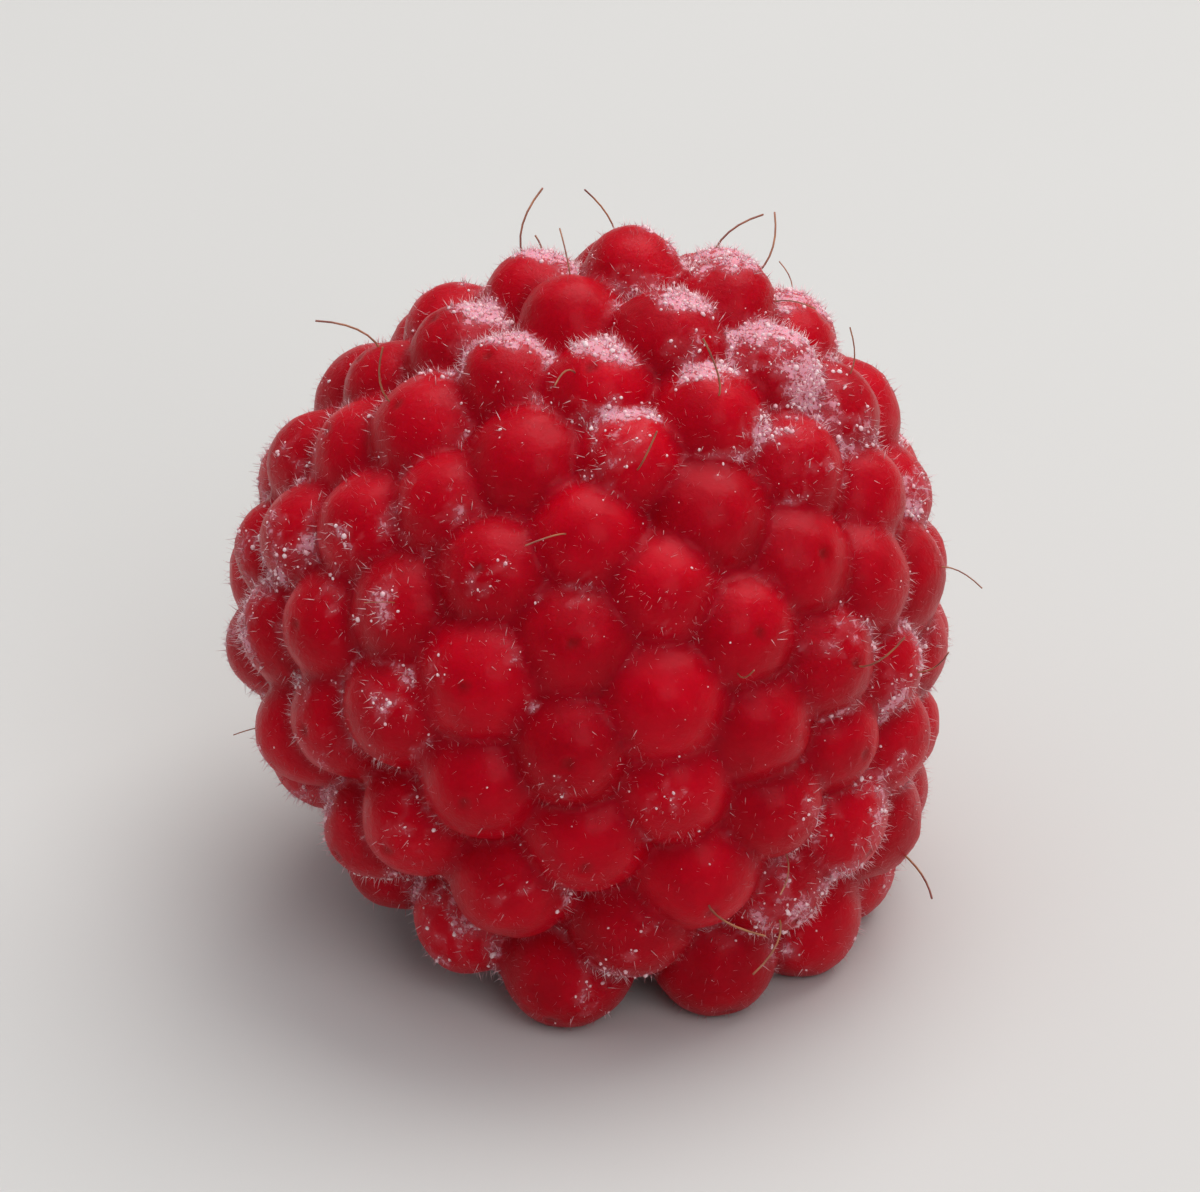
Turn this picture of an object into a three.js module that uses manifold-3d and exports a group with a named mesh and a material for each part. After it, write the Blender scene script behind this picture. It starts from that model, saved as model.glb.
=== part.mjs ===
// A picked raspberry: one aggregate fruit, whose drupelets have grown together round the hollow
// that the receptacle left. It stands on its open mouth, and its tip leans to one side.
// Millimetres, +Z up. The origin is under the middle of the berry, on the surface it stands on.

import * as THREE from 'three';
import { mergeVertices } from 'three/addons/utils/BufferGeometryUtils.js';
import Module from 'manifold-3d';

const wasm = await Module();
wasm.setup();

// ---- Driving dimensions ----

// The berry as it would have grown straight, with its axis upright.
const BERRY_WIDTH = 20.2; // over the drupelets, round the widest ring
const BERRY_HEIGHT = 18.7; // from the mouth to the top of the tip
const WIDEST_Z = 6.5; // height of the widest ring
const POINTEDNESS = 1.55; // of the cone above that: 1 is half an ellipse, and more is sharper
const RIM_WIDTH = 16.8; // over the drupelets round the mouth
const TUCK = 2.2; // how late the sides turn in towards the mouth

const DRUPELETS = 128;
const DRUPELET_DEPTH = 4.3; // through the fruit's wall, from outer to inner end
const TIP_SIZE = 0.86; // of the drupelets at the tip, compared with those at the widest ring
const PLUMPNESS = 0.76; // half width of a drupelet, as a share of the spacing round it
const UNEVENNESS = 0.07; // how much the drupelets' sizes differ, up or down
const RAISE_SPREAD = 0.3; // how much their heights over the seat line differ in all
const TURN_SPREAD = 0.15; // how much they stray round the axis in all, in radians

const MOUTH_WIDTH = 11.0; // of the hollow, where the receptacle came out
const HOLLOW_TOP_WIDTH = 7.0; // of the hollow, where its rounded end begins
const HOLLOW_DEPTH = 13.0;

// How it grew and stands.
const TIP_SHIFT = 1.2; // of the tip off the axis, towards +X
const MOUTH_SHIFT = 1.5; // of the mouth's middle off the axis, towards +X
const LEAN_RIGHT = THREE.MathUtils.degToRad(10); // of the axis, towards +X
const LEAN_BACK = THREE.MathUtils.degToRad(2); // of the axis, towards +Y
const RIM_RISE = [1.5, 2.5]; // the leaning rim sags to the surface, but not where it rises past these
const REST_BAND = 0.9; // rim drupelets this near above the surface reach down to it
const FLAT_BITE = 0.18; // how much of a drupelet is pressed flat where it carries the berry

const SKIN = { color: 0xa8101f, roughness: 0.38, metalness: 0 };
const SEED = 20;

// ---- What follows from them ----

const HALF_DEPTH = DRUPELET_DEPTH / 2;
const SEAT_RADIUS = BERRY_WIDTH / 2 - HALF_DEPTH; // of the drupelets' centres, at the widest
const SEAT_TOP = BERRY_HEIGHT - HALF_DEPTH; // height of the centre of the drupelet at the tip
const RIM_RADIUS = RIM_WIDTH / 2 - HALF_DEPTH; // of the lowest drupelets' centres
const RIM_Z = 1.9; // height of their centres
const RIM_BAND = 1; // seats this near above that height are the rim's
const GOLDEN_ANGLE = Math.PI * (3 - Math.sqrt(5));
const LEAN = new THREE.Matrix4().makeRotationFromEuler(new THREE.Euler(-LEAN_BACK, LEAN_RIGHT, 0));

const CONE_SHARE = 0.7; // of the seat line's points, from the tip down to the widest ring
const LINE_POINTS = 240;
const SETTLE_ROUNDS = 80;
const PUSH_REACH = 0.62; // how near two seats may come unpushed, as a share of their summed sizes
const PUSH_SHARE = 0.2; // of what they lack to that, in one round
const MOUTH_BEND = 1.5; // how late below the widest ring the berry bends and sags to its mouth
const FLESH_RINGS = 12;
const FLESH_DROP = 0.5; // of the flesh below the rim drupelets' centres
const AROUND = 36; // sides of the flesh and of the hollow
const BENDS = 5; // of the hollow's rounded end
const BEYOND = 6; // how far the hollow's cutter and the surface's slab reach past the berry
const MERGE_WITHIN = 1e-4; // points this near each other are one

// Mulberry32: the same draws in every run.
function randomDraws(seed) {
  let state = seed;
  return () => {
    state = (state + 0x6d2b79f5) | 0;
    let t = Math.imul(state ^ (state >>> 15), 1 | state);
    t = (t + Math.imul(t ^ (t >>> 7), 61 | t)) ^ t;
    return ((t ^ (t >>> 14)) >>> 0) / 4294967296;
  };
}

// ---- Where the drupelets sit ----

// The line that their centres lie on, turned round the axis, from the tip to the rim: a cone with
// a blunt tip above the widest ring, and a tuck towards the mouth below it.
function seatLine() {
  const points = [];
  for (let index = 0; index <= LINE_POINTS; index++) {
    const share = index / LINE_POINTS;
    if (share < CONE_SHARE) {
      const angle = (Math.PI / 2) * (share / CONE_SHARE);
      const radius = SEAT_RADIUS * Math.sin(angle) ** POINTEDNESS;
      points.push(new THREE.Vector2(radius, WIDEST_Z + (SEAT_TOP - WIDEST_Z) * Math.cos(angle)));
    } else {
      const drop = (share - CONE_SHARE) / (1 - CONE_SHARE);
      const radius = SEAT_RADIUS - (SEAT_RADIUS - RIM_RADIUS) * drop ** TUCK;
      points.push(new THREE.Vector2(radius, THREE.MathUtils.lerp(WIDEST_Z, RIM_Z, drop)));
    }
  }
  return points;
}

// The area that the line has swept round the axis, from the tip to each of its points.
function sweptAreas(line) {
  const areas = [0];
  for (let index = 1; index < line.length; index++) {
    const length = line[index].distanceTo(line[index - 1]);
    areas.push(areas[index - 1] + Math.PI * (line[index].x + line[index - 1].x) * length);
  }
  return areas;
}

// Puts a seat back on the line, at its own turn round the axis, and faces it out of the fruit.
function putOnLine(seat, line) {
  const turn = Math.atan2(seat.centre.y, seat.centre.x);
  const beside = new THREE.Vector2(Math.hypot(seat.centre.x, seat.centre.y), seat.centre.z);
  let nearest = 0;
  for (let index = 1; index < line.length; index++) {
    if (line[index].distanceTo(beside) < line[nearest].distanceTo(beside)) nearest = index;
  }
  const before = line[Math.max(nearest - 1, 0)];
  const after = line[Math.min(nearest + 1, line.length - 1)];
  const along = after.clone().sub(before).normalize();
  const { x: radius, y: height } = line[nearest];
  seat.centre.set(radius * Math.cos(turn), radius * Math.sin(turn), height);
  seat.normal.set(-along.y * Math.cos(turn), -along.y * Math.sin(turn), along.x);
}

// The seats start on a golden-angle spiral that gives each of them the same room.
function spiralSeats(line, spacing) {
  const draw = randomDraws(SEED);
  const areas = sweptAreas(line);
  const seats = [];
  let index = 0;
  for (let count = 0; count < DRUPELETS; count++) {
    while (areas[index] < (areas[LINE_POINTS] * (count + 0.5)) / DRUPELETS) index++;
    const turn = count * GOLDEN_ANGLE + TURN_SPREAD * (draw() - 0.5);
    const { x: radius, y: height } = line[index];
    const even = THREE.MathUtils.lerp(TIP_SIZE, 1, THREE.MathUtils.smoothstep(radius, 0, SEAT_RADIUS));
    const size = even * (1 + UNEVENNESS * (2 * draw() - 1));
    seats.push({
      centre: new THREE.Vector3(radius * Math.cos(turn), radius * Math.sin(turn), height),
      normal: new THREE.Vector3(),
      size,
      halfWidth: spacing * PLUMPNESS * size,
      spin: Math.PI * draw(),
      raise: RAISE_SPREAD * (draw() - 0.5),
    });
  }
  return seats;
}

// Seats push each other apart over the swept line until they are packed as evenly as they grow.
function settle(seats, line, spacing) {
  const push = new THREE.Vector3();
  for (let round = 0; round < SETTLE_ROUNDS; round++) {
    const shifts = seats.map((seat) => {
      const shift = new THREE.Vector3();
      for (const other of seats) {
        push.subVectors(seat.centre, other.centre);
        const overlap = PUSH_REACH * spacing * (seat.size + other.size) - push.length();
        if (other !== seat && overlap > 0) {
          shift.addScaledVector(push.normalize(), PUSH_SHARE * overlap);
        }
      }
      return shift;
    });
    seats.forEach((seat, index) => {
      seat.centre.add(shifts[index]);
      putOnLine(seat, line);
    });
  }
}

// A place in the berry as it would have grown straight, taken to where it is.
function grown(place) {
  const rise = THREE.MathUtils.inverseLerp(WIDEST_Z, BERRY_HEIGHT, Math.max(place.z, WIDEST_Z));
  const fall = THREE.MathUtils.clamp((WIDEST_Z - place.z) / (WIDEST_Z - RIM_Z), 0, 1);
  const drop = fall ** MOUTH_BEND;
  const towardsLean = place.x / Math.max(Math.hypot(place.x, place.y), 0.01);
  const rimRise = RIM_RADIUS * Math.sin(LEAN_RIGHT) * (1 - towardsLean);
  const sag = rimRise * (1 - THREE.MathUtils.smoothstep(rimRise, ...RIM_RISE));
  place.x += TIP_SHIFT * rise ** 2 + MOUTH_SHIFT * drop;
  place.applyMatrix4(LEAN);
  place.z -= sag * drop;
  return place;
}

// How far a drupelet reaches below its centre.
function reachDown(seat) {
  return Math.hypot(HALF_DEPTH * seat.normal.z, seat.halfWidth * Math.sqrt(1 - seat.normal.z ** 2));
}

function growDrupelets() {
  const line = seatLine();
  const room = sweptAreas(line)[LINE_POINTS] / DRUPELETS;
  const spacing = Math.sqrt((room * 2) / Math.sqrt(3));
  const seats = spiralSeats(line, spacing);
  settle(seats, line, spacing);
  for (const seat of seats) {
    seat.atRim = seat.centre.z < RIM_Z + RIM_BAND;
    seat.centre.addScaledVector(seat.normal, seat.raise);
    grown(seat.centre);
    seat.normal.transformDirection(LEAN);
  }
  return seats;
}

// The berry is set down on its lowest drupelets, and the rim's others that are close above the
// surface reach down to it. All of them are pressed a little flat by the berry's weight.
function standOnSurface(seats) {
  const lowest = Math.min(...seats.map((seat) => seat.centre.z - reachDown(seat)));
  for (const seat of seats) {
    seat.centre.z -= lowest;
    const gap = seat.centre.z - reachDown(seat);
    if (seat.atRim && gap < REST_BAND) seat.centre.z -= gap + FLAT_BITE;
  }
  return lowest;
}

// ---- Solids ----

function solidOf(geometry) {
  geometry.deleteAttribute('normal');
  geometry.deleteAttribute('uv');
  const merged = mergeVertices(geometry, MERGE_WITHIN);
  return new wasm.Manifold(new wasm.Mesh({
    numProp: 3,
    vertProperties: merged.attributes.position.array,
    triVerts: new Uint32Array(merged.index.array),
  }));
}

function drupelet(seat) {
  const shape = new THREE.IcosahedronGeometry(1, 1);
  shape.rotateY(seat.spin);
  shape.scale(seat.halfWidth, HALF_DEPTH, seat.halfWidth);
  const out = new THREE.Vector3(0, 1, 0);
  shape.applyQuaternion(new THREE.Quaternion().setFromUnitVectors(out, seat.normal));
  shape.translate(...seat.centre);
  return solidOf(shape);
}

// Turns a profile of radius and height round the berry's axis, and leans it as the berry grew.
function turned(profile, lowest) {
  const shape = new THREE.LatheGeometry(profile, AROUND);
  shape.rotateX(Math.PI / 2);
  const places = shape.attributes.position;
  for (let index = 0; index < places.count; index++) {
    const place = grown(new THREE.Vector3().fromBufferAttribute(places, index));
    places.setXYZ(index, place.x, place.y, place.z - lowest);
  }
  return solidOf(shape);
}

// The flesh behind the drupelets fills the berry up to their centres.
function flesh(lowest) {
  const line = seatLine();
  const bottom = RIM_Z - FLESH_DROP;
  const profile = [new THREE.Vector2(0, bottom), new THREE.Vector2(RIM_RADIUS, bottom)];
  for (let ring = FLESH_RINGS; ring > 0; ring--) {
    profile.push(line[Math.round((LINE_POINTS * ring) / FLESH_RINGS)]);
  }
  profile.push(new THREE.Vector2(0, SEAT_TOP));
  return turned(profile, lowest);
}

// The space of the receptacle: a cone with a rounded end, open at the mouth.
function hollow(lowest) {
  const radius = HOLLOW_TOP_WIDTH / 2;
  const shoulder = HOLLOW_DEPTH - radius;
  const splay = (MOUTH_WIDTH / 2 - radius) / shoulder;
  const mouth = new THREE.Vector2(radius + splay * (shoulder + BEYOND), -BEYOND);
  const profile = [new THREE.Vector2(0, -BEYOND), mouth];
  for (let bend = 0; bend < BENDS; bend++) {
    const angle = (Math.PI / 2) * (bend / BENDS);
    profile.push(new THREE.Vector2(radius * Math.cos(angle), shoulder + radius * Math.sin(angle)));
  }
  profile.push(new THREE.Vector2(0, HOLLOW_DEPTH));
  return turned(profile, lowest);
}

function belowSurface() {
  const side = 2 * BERRY_WIDTH;
  return solidOf(new THREE.BoxGeometry(side, side, BEYOND).translate(0, 0, -BEYOND / 2));
}

// Small gaps that the fusing seals inside the wall come out as shells of their own, and are filled.
function growBerry() {
  const seats = growDrupelets();
  const lowest = standOnSurface(seats);
  const drupelets = wasm.Manifold.union(seats.map(drupelet)).add(flesh(lowest));
  const shells = drupelets.subtract(hollow(lowest)).subtract(belowSurface()).decompose();
  return shells.reduce((whole, shell) => (shell.volume() > whole.volume() ? shell : whole));
}

// ---- The part ----

// The solid as a mesh, moved so that the origin is under the middle of it.
function meshOf(solid, name, finish) {
  const { vertProperties, triVerts } = solid.getMesh();
  const geometry = new THREE.BufferGeometry();
  geometry.setAttribute('position', new THREE.BufferAttribute(vertProperties, 3));
  geometry.setIndex(new THREE.BufferAttribute(triVerts, 1));
  geometry.computeBoundingBox();
  const middle = geometry.boundingBox.getCenter(new THREE.Vector3());
  geometry.translate(-middle.x, -middle.y, 0);
  geometry.computeVertexNormals();
  const mesh = new THREE.Mesh(geometry, new THREE.MeshStandardMaterial(finish));
  mesh.name = name;
  return mesh;
}

const part = new THREE.Group();
part.name = 'picked_raspberry';
part.add(meshOf(growBerry(), 'raspberry', SKIN));

export default part;
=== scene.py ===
# A frosted raspberry, picked, standing on the open mouth of its hollow. Its drupelets, the frost
# on them, the down all over them and the dry styles are grown here round the berry's CAD solid.
import math
from collections import namedtuple

import bpy
import numpy as np
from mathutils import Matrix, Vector
from mathutils.bvhtree import BVHTree


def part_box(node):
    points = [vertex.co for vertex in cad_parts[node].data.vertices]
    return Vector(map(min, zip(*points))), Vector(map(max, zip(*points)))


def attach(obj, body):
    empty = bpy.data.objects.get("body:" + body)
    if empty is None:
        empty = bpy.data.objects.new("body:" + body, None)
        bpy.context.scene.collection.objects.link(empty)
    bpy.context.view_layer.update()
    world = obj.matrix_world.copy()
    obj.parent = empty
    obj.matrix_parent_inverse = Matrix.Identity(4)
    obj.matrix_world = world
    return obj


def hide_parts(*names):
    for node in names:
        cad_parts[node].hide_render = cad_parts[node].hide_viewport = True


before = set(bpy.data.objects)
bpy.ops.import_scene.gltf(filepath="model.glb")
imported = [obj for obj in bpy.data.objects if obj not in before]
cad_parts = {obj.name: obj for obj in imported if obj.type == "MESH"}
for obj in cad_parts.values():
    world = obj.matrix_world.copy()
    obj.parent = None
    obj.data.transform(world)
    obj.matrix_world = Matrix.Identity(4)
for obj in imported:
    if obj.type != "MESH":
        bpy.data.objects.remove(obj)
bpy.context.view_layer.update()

MM = 0.001

# ---- The berry's driving sizes: the same as the solid's, in metres and radians ----

# The berry as it would have grown straight, with its axis upright.
BERRY_WIDTH = 20.2 * MM  # over the drupelets, round the widest ring
BERRY_HEIGHT = 18.7 * MM  # from the mouth to the top of the tip
WIDEST_Z = 6.5 * MM  # height of the widest ring
POINTEDNESS = 1.55  # of the cone above that: 1 is half an ellipse, and more is sharper
RIM_WIDTH = 16.8 * MM  # over the drupelets round the mouth
TUCK = 2.2  # how late the sides turn in towards the mouth

DRUPELETS = 128
DRUPELET_DEPTH = 4.3 * MM  # through the fruit's wall, from outer to inner end
TIP_SIZE = 0.86  # of the drupelets at the tip, compared with those at the widest ring
PLUMPNESS = 0.76  # half width of a drupelet, as a share of the spacing round it
UNEVENNESS = 0.07  # how much the drupelets' sizes differ, up or down
RAISE_SPREAD = 0.3 * MM  # how much their heights over the seat line differ in all
TURN_SPREAD = 0.15  # how much they stray round the axis in all

MOUTH_WIDTH = 11.0 * MM  # of the hollow, where the receptacle came out
HOLLOW_TOP_WIDTH = 7.0 * MM  # of the hollow, where its rounded end begins
HOLLOW_DEPTH = 13.0 * MM

# How it grew and stands.
TIP_SHIFT = 1.2 * MM  # of the tip off the axis, towards +X
MOUTH_SHIFT = 1.5 * MM  # of the mouth's middle off the axis, towards +X
LEAN_RIGHT = math.radians(10)  # of the axis, towards +X
LEAN_BACK = math.radians(2)  # of the axis, towards +Y
RIM_RISE = (1.5 * MM, 2.5 * MM)  # the rim sags to the surface, but not where it rises past these
REST_BAND = 0.9 * MM  # rim drupelets this near above the surface reach down to it
FLAT_BITE = 0.18 * MM  # how much of a drupelet is pressed flat where it carries the berry
SEED = 20

# What follows from them.
HALF_DEPTH = DRUPELET_DEPTH / 2
SEAT_RADIUS = BERRY_WIDTH / 2 - HALF_DEPTH  # of the drupelets' centres, at the widest
SEAT_TOP = BERRY_HEIGHT - HALF_DEPTH  # height of the centre of the drupelet at the tip
RIM_RADIUS = RIM_WIDTH / 2 - HALF_DEPTH  # of the lowest drupelets' centres
RIM_Z = 1.9 * MM  # height of their centres
RIM_BAND = 1 * MM  # seats this near above that height are the rim's
GOLDEN_ANGLE = math.pi * (3 - math.sqrt(5))
CONE_SHARE = 0.7  # of the seat line's points, from the tip down to the widest ring
LINE_POINTS = 240
SETTLE_ROUNDS = 80
PUSH_REACH = 0.62  # how near two seats may come unpushed, as a share of their summed sizes
PUSH_SHARE = 0.2  # of what they lack to that, in one round
NEAR_AXIS = 0.01 * MM  # within this of the axis, no side is the lean's
MOUTH_BEND = 1.5  # how late below the widest ring the berry bends and sags to its mouth
FLESH_DROP = 0.5 * MM  # of the flesh below the rim drupelets' centres
BEYOND = 6 * MM  # how far the hollow's cutter reaches below the berry

# ---- What only this script makes ----

# The skin that the drupelets and the flesh are fused to.
DRUPELET_FINENESS = 4  # of each drupelet before they are fused
FLESH_SIDES = 64
FLESH_LINE_STEP = 8  # of the seat line's points, between two rings of the flesh
HOLLOW_SIDES = 120
HOLLOW_RINGS = 80  # of its sloping wall
HOLLOW_END_RINGS = 26  # of its rounded end
ROUGH_STEP = 0.13 * MM  # between the points while the drupelets are fused
SKIN_STEP = 0.168 * MM  # between the points of the finished skin
ON_SURFACE = 0.01 * MM  # how far above the surface the pressed flats are
AT_ONCE = 8000  # places whose drupelets are looked up in one go

# The drupelets' roots in the hollow's wall.
ROOT_SHARE = 0.8  # of the way in to each drupelet's end, where its root shows
ROOT_RELIEF = 0.28 * MM
ROOT_GROOVE = 0.9 * MM  # how much farther the next root is where the groove between them ends
ROOT_BULGE = 0.4  # of the relief that stands into the hollow: the rest is the grooves

# The marks on the skin.
INSIDE_EDGE = (0.15 * MM, 0.45 * MM)  # off the hollow's wall, where the inside's colour ends
CREASE_REACH = 0.34  # of a drupelet's size, how far up its sides a crease goes
SCAR_SHARE = 0.45  # of the drupelets that show where their style broke off
SCAR_EDGE = (0.04 * MM, 0.26 * MM)  # off its middle, where a scar fades out
SCAR_DEPTH = 0.07 * MM
DENT_DEPTH = 0.16 * MM
DENT_SIZE = 1.1 * MM

# The dry styles.
STYLE_SHARE = 0.3  # of the drupelets that still carry theirs
STYLE_SEED = SEED + 5
STYLE_TILT = 0.22  # how much they stray from straight out
STYLE_ROOT = 0.15 * MM  # of its length that is in the skin
LOWEST_STYLE = 1.5 * MM  # above the surface
STYLE_REACH = (0.55, 0.6)  # of the full length: the shortest, and how much the longest adds
STYLE_LENGTH = 1.5 * MM
STYLE_THICKNESS = 0.055 * MM
STYLE_BEND = 1.1 * MM  # of its end, sideways
STYLE_KNEE = 0.55  # of its length, where it bends most
STYLE_TAPER = 0.7  # of its thickness, lost by its end
STYLE_POINTS = 6
STYLE_SIDES = 5

# Grains of frost. What differs from one to the next has its least, its most and its seed.
GRAINS_PER_AREA = 30e6
GRAIN_SIZES = (0.025 * MM, 0.11 * MM)
GRAIN_FINENESS = 1
GRAIN_TURNS = ((0.0, 0.0, 0.0), (6.3, 6.3, 6.3), SEED + 1)  # in radians
GRAIN_SHAPES = ((0.55, 0.55, 0.45), (1.0, 1.0, 1.0), SEED + 2)  # along each of its axes
GRAIN_DRAWS = (0.0, 1.0, SEED + 3)  # of its size, from the smallest to the largest
SMALL_GRAINS = 2.5  # how much the small ones outnumber the large
GRAIN_CROWDING = 1.5  # how much they keep to the thickest frost
STRAY_GRAINS = 0.012  # of the thickest frost's, on bare skin
FULL_GRAINS = 0.4  # frost this thick has grains of their full size
BARE_GRAINS = 0.5  # size of the grains on bare skin, compared with those

# Needles of frost, and the hairs of the down.
NEEDLE_TILTS = ((-0.7, -0.7, -3.1), (0.7, 0.7, 3.1), SEED + 8)  # from straight out, in radians
NEEDLE_LENGTHS = (0.35, 1.0, SEED + 9)  # of the full length
NEEDLE_SIDES = 3
DRY_BELOW = 0.3  # exposure under which needles and hairs thin out
DRY_SHARE = 0.3  # of them that are left where the skin isn't exposed at all
FROST_NEEDLES = {
    "Needles per Area": 40e6, "Share on Frost": 1.0, "Share on Skin": 0.005, "Seed": SEED + 7,
    "Length": 0.35 * MM, "Thickness": 0.03 * MM,
}
DOWN_HAIRS = {
    "Needles per Area": 24e6, "Share on Skin": 0.5, "Share in Creases": 0.5, "Seed": SEED + 11,
    "Length": 0.28 * MM, "Thickness": 0.012 * MM,
}

# ---- Where the frost lies ----

FROST_SIDE = np.array([0.20, 0.40, 0.89])  # the way that it fell from
FROST_SQUARELY = (0.5, 0.95)  # how squarely a place faces that way, to catch none or all
FROST_UPPER = (-0.05, 0.25)  # how much more squarely than its drupelet does, on an upper side
FROST_ON_LOWER = 0.35  # of what an upper side catches
FROST_MIDDLE = (0, 0, 9.2 * MM)  # from which the angles below are taken, in degrees
FROST_EVERYWHERE = 0.30
FROST_BAND_ANGLE = 18.0  # of the band round the tip, from the berry's axis
FROST_BAND_SPREAD = 9.5
FROST_BAND_LEAST = 0.08  # in the band, where none is caught
FROST_BAND_CAUGHT = 1.1  # more than that, where all is
FROST_UNEVENNESS = 0.14  # from one drupelet to the next
FROST_IN_CREASES = 0.08
FROST_INSIDE = -0.6
MOST_EXPOSED = 1.2
FROST_PATCHES = [
    # turn from the front towards the right, rise, spread, amount
    (126, 45, 16, 0.35),
    (74, 42, 12, 0.58),
    (88, 18, 16, 0.12),
    (-68, 22, 11, 0.27),
    (-48, 24, 8, 0.32),
    (-30, 27, 8, 0.28),
    (-3, 33, 11, 0.27),
    (0, -25, 9, 0.32),
    (44, -32, 8, 0.24),
    (68, -28, 11, 0.16),
    (-55, -28, 14, 0.22),
    (170, 20, 26, 0.22),
    (-120, 15, 24, 0.22),
    (150, -35, 18, 0.20),
    (-75, 5, 34, 0.10),
    (8, 5, 24, -0.25),
]
PATCH_SIZE = 1.5 * MM  # of the frost's own patches, once it is settled
GAP_SIZE = 0.4 * MM
GAP_SHARE = 0.5  # of the gaps in them, compared with the patches
BARE_LEVEL = 0.78  # that the patches must reach where nothing is exposed
EXPOSED_SHARE = 0.5  # of a place's exposure, by which that level is lower
FROST_EDGE = (-0.10, 0.24)  # over that level, where frost begins and where it is full

# ---- Colours and finishes ----

RIPE_RED = (0.32, 0.0001, 0.005, 1)
BRIGHT_RED = (0.59, 0.0002, 0.011, 1)
# Painted shade: the darker red laid into the creases between the drupelets.
CREASE_SHADE_RED = (0.22, 0.0002, 0.005, 1)
INSIDE_PINK = (0.55, 0.09, 0.09, 1)
SCAR_BROWN = (0.10, 0.008, 0.004, 1)
FROST_PINK = (0.76, 0.33, 0.40, 1)
ICE_TONES = ((0.84, 0.44, 0.49, 1), (0.95, 0.76, 0.78, 1))
DOWN_TONES = ((0.66, 0.14, 0.18, 1), (0.84, 0.40, 0.44, 1))
STYLE_TONES = ((0.20, 0.045, 0.018, 1), (0.42, 0.17, 0.055, 1))
PAPER_TONES = ((0.60, 0.592, 0.575, 1), (0.64, 0.632, 0.615, 1))

# The levels of a noise between which one tone turns into another.
CLEAR = (0.35, 0.65)
SOFT = (0.3, 0.7)

# What makes a place of the skin brighter, in shares of the whole.
RIPENESS_SHARE = 0.5
BLOTCH_SHARE = 0.3
MOTTLE_SHARE = 0.2

BLOTCH_SIZE = 1.3 * MM
BLOTCH_DUST = 0.12  # of frost, on the brightest blotches
MOTTLE_SIZE = 0.2 * MM
PORE_SIZE = 0.14 * MM
PORE_SHARE = 0.6  # of the relief, compared with thick frost
SKIN_RELIEF = 0.06 * MM
SKIN_ROUGHNESS = 0.40
CREASE_SHADE_STRENGTH = 0.3  # how much painted shade darkens the colour in a crease
SCAR_TINT = 0.45

SPECK_SIZE = 0.16 * MM
SPECK_LEVELS = (0.68, 0.36)  # that the grain must reach to show, in no frost and in the thickest
SPECK_EDGE = 0.10
FROST_ROUGHNESS = 0.8
FROST_VEIL = 0.26  # how much of the red the thickest frost hides between its specks
THIN_FROST = 0.15  # below which frost is specks alone
STYLE_ROUGHNESS = 0.5
STYLE_FROST = 0.35
STYLE_SPECK_SIZE = 0.08 * MM

# How large the clouds of tone are in each of the other finishes.
STYLE_CLOUDS = 0.7 * MM
DOWN_CLOUDS = 1.5 * MM
ICE_CLOUDS = 0.6 * MM
ICE_GRAIN = 0.05 * MM
ICE_ROUGHNESS = (0.25, 0.6)
PAPER_CLOUDS = 40 * MM

# ---- The view and the light ----

CAMERA_RISE = math.radians(30)
CAMERA_DISTANCE = 0.228
CAMERA_LENS = 250  # in millimetres: a long one, from far off for a thing of this size
NEAREST_SEEN = 0.01
VIEW_MIDDLE = (0.3 * MM, 0, 9.2 * MM)

FLOOR_SIDES = 96
FLOOR_RINGS = 40
FLOOR_BEND = 0.55  # radius within which the sheet bends up
FLOOR_SPREAD = 0.2  # by which it is wider than that
FLOOR_RISE = 0.14  # height of its edge

SKY = (0.92, 0.94, 1.0, 1)
SKY_STRENGTH = 0.29
LIGHTS = [
    # name, place, size, power, colour
    ("key", (0.10, 0.12, 0.30), 0.30, 0.77, (1, 0.98, 0.95)),
    ("fill", (0.15, -0.30, 0.27), 0.25, 0.46, (0.97, 0.98, 1)),
    ("overhead", (0, 0.05, 0.70), 0.90, 2.10, (1, 1, 1)),
]


def smoothstep(value, low, high):
    share = np.clip((value - low) / (high - low), 0, 1)
    return share * share * (3 - 2 * share)


def random_draws(seed):
    """Mulberry32: the same draws in every run, and the same as the solid's."""
    state = seed
    mask = 0xFFFFFFFF

    def draw():
        nonlocal state
        state = (state + 0x6D2B79F5) & mask
        t = ((state ^ (state >> 15)) * (1 | state)) & mask
        t = ((t + (((t ^ (t >> 7)) * (61 | t)) & mask)) & mask) ^ t
        return ((t ^ (t >> 14)) & mask) / (mask + 1)

    return draw


# ---- Where the drupelets sit ----

# The drupelets' centres, the way out of the fruit at each, and their half widths.
Seats = namedtuple("Seats", "centres outward half_width")


def lean_matrix():
    """The turn that leans the berry: first towards +X, then back."""
    cx, sx = math.cos(-LEAN_BACK), math.sin(-LEAN_BACK)
    cy, sy = math.cos(LEAN_RIGHT), math.sin(LEAN_RIGHT)
    about_x = np.array([[1, 0, 0], [0, cx, -sx], [0, sx, cx]])
    about_y = np.array([[cy, 0, sy], [0, 1, 0], [-sy, 0, cy]])
    return about_x @ about_y


LEAN = lean_matrix()


def seat_line():
    """Radius and height of the line that the drupelets' centres lie on, from tip to rim."""
    share = np.arange(LINE_POINTS + 1) / LINE_POINTS
    angle = math.pi / 2 * np.minimum(share / CONE_SHARE, 1)
    drop = np.clip((share - CONE_SHARE) / (1 - CONE_SHARE), 0, 1)
    cone = share < CONE_SHARE
    cone_radius = SEAT_RADIUS * np.sin(angle) ** POINTEDNESS
    cone_height = WIDEST_Z + (SEAT_TOP - WIDEST_Z) * np.cos(angle)
    tucked_radius = SEAT_RADIUS - (SEAT_RADIUS - RIM_RADIUS) * drop ** TUCK
    tucked_height = WIDEST_Z + (RIM_Z - WIDEST_Z) * drop
    return np.where(cone, cone_radius, tucked_radius), np.where(cone, cone_height, tucked_height)


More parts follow.
